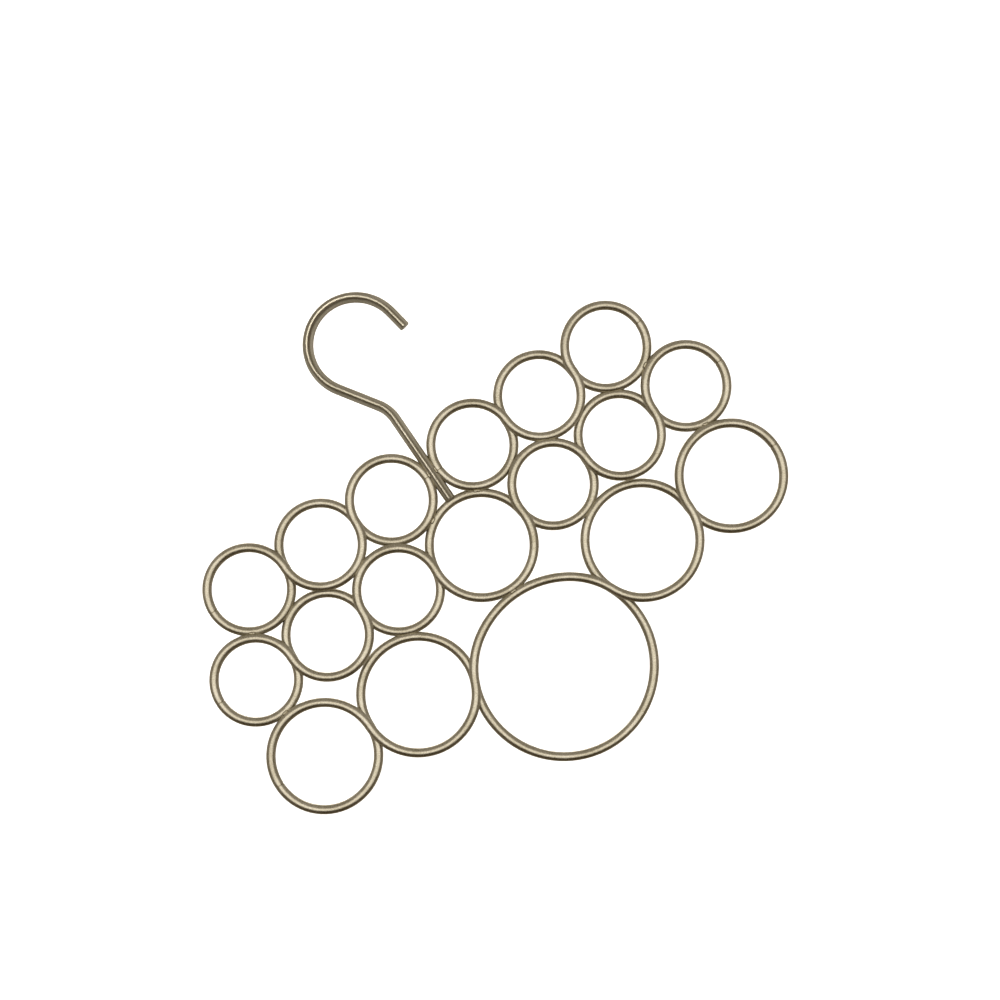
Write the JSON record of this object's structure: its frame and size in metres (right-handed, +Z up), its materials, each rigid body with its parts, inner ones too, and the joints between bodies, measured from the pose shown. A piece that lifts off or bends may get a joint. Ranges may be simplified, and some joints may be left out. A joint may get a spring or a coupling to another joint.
{
  "type": "scarf hanger",
  "caption": "Flat scarf hanger of bent and welded metal wire: rows of rings that hold scarves, under a swan-neck hook for a wardrobe rail.",
  "frame": {"origin": "the hook's seat: the highest point inside its round bend, on the middle plane of the wire, where it rests on the rail", "axes": "+X along the rows of rings, to the side that the hook's mouth opens to; +Y to the back; +Z up"},
  "size_m": [0.358, 0.0096, 0.3102],
  "materials": {
    "plated_wire": "satin champagne bronze plating over bent steel wire",
    "weld_metal": "bright plated weld bead, slightly uneven"
  },
  "bodies": {
    "root": {"hook": "plated_wire", "top_left_front_wire": "plated_wire", "top_left_back_wire": "plated_wire", "top_right_front_wire": "plated_wire", "top_right_back_wire": "plated_wire", "middle_front_wire": "plated_wire", "middle_back_wire": "plated_wire", "bottom_front_wire": "plated_wire", "bottom_back_wire": "plated_wire", "weld_hook_to_top_3": "weld_metal", "weld_hook_to_top_4": "weld_metal", "weld_top_1_to_middle_1": "weld_metal", "weld_top_3_to_middle_4": "weld_metal", "weld_top_4_to_middle_4": "weld_metal", "weld_top_6_to_middle_7": "weld_metal", "weld_middle_1_to_bottom_1": "weld_metal", "weld_middle_4_to_bottom_3": "weld_metal", "weld_middle_7_to_bottom_5": "weld_metal"}
  },
  "joints": []
}
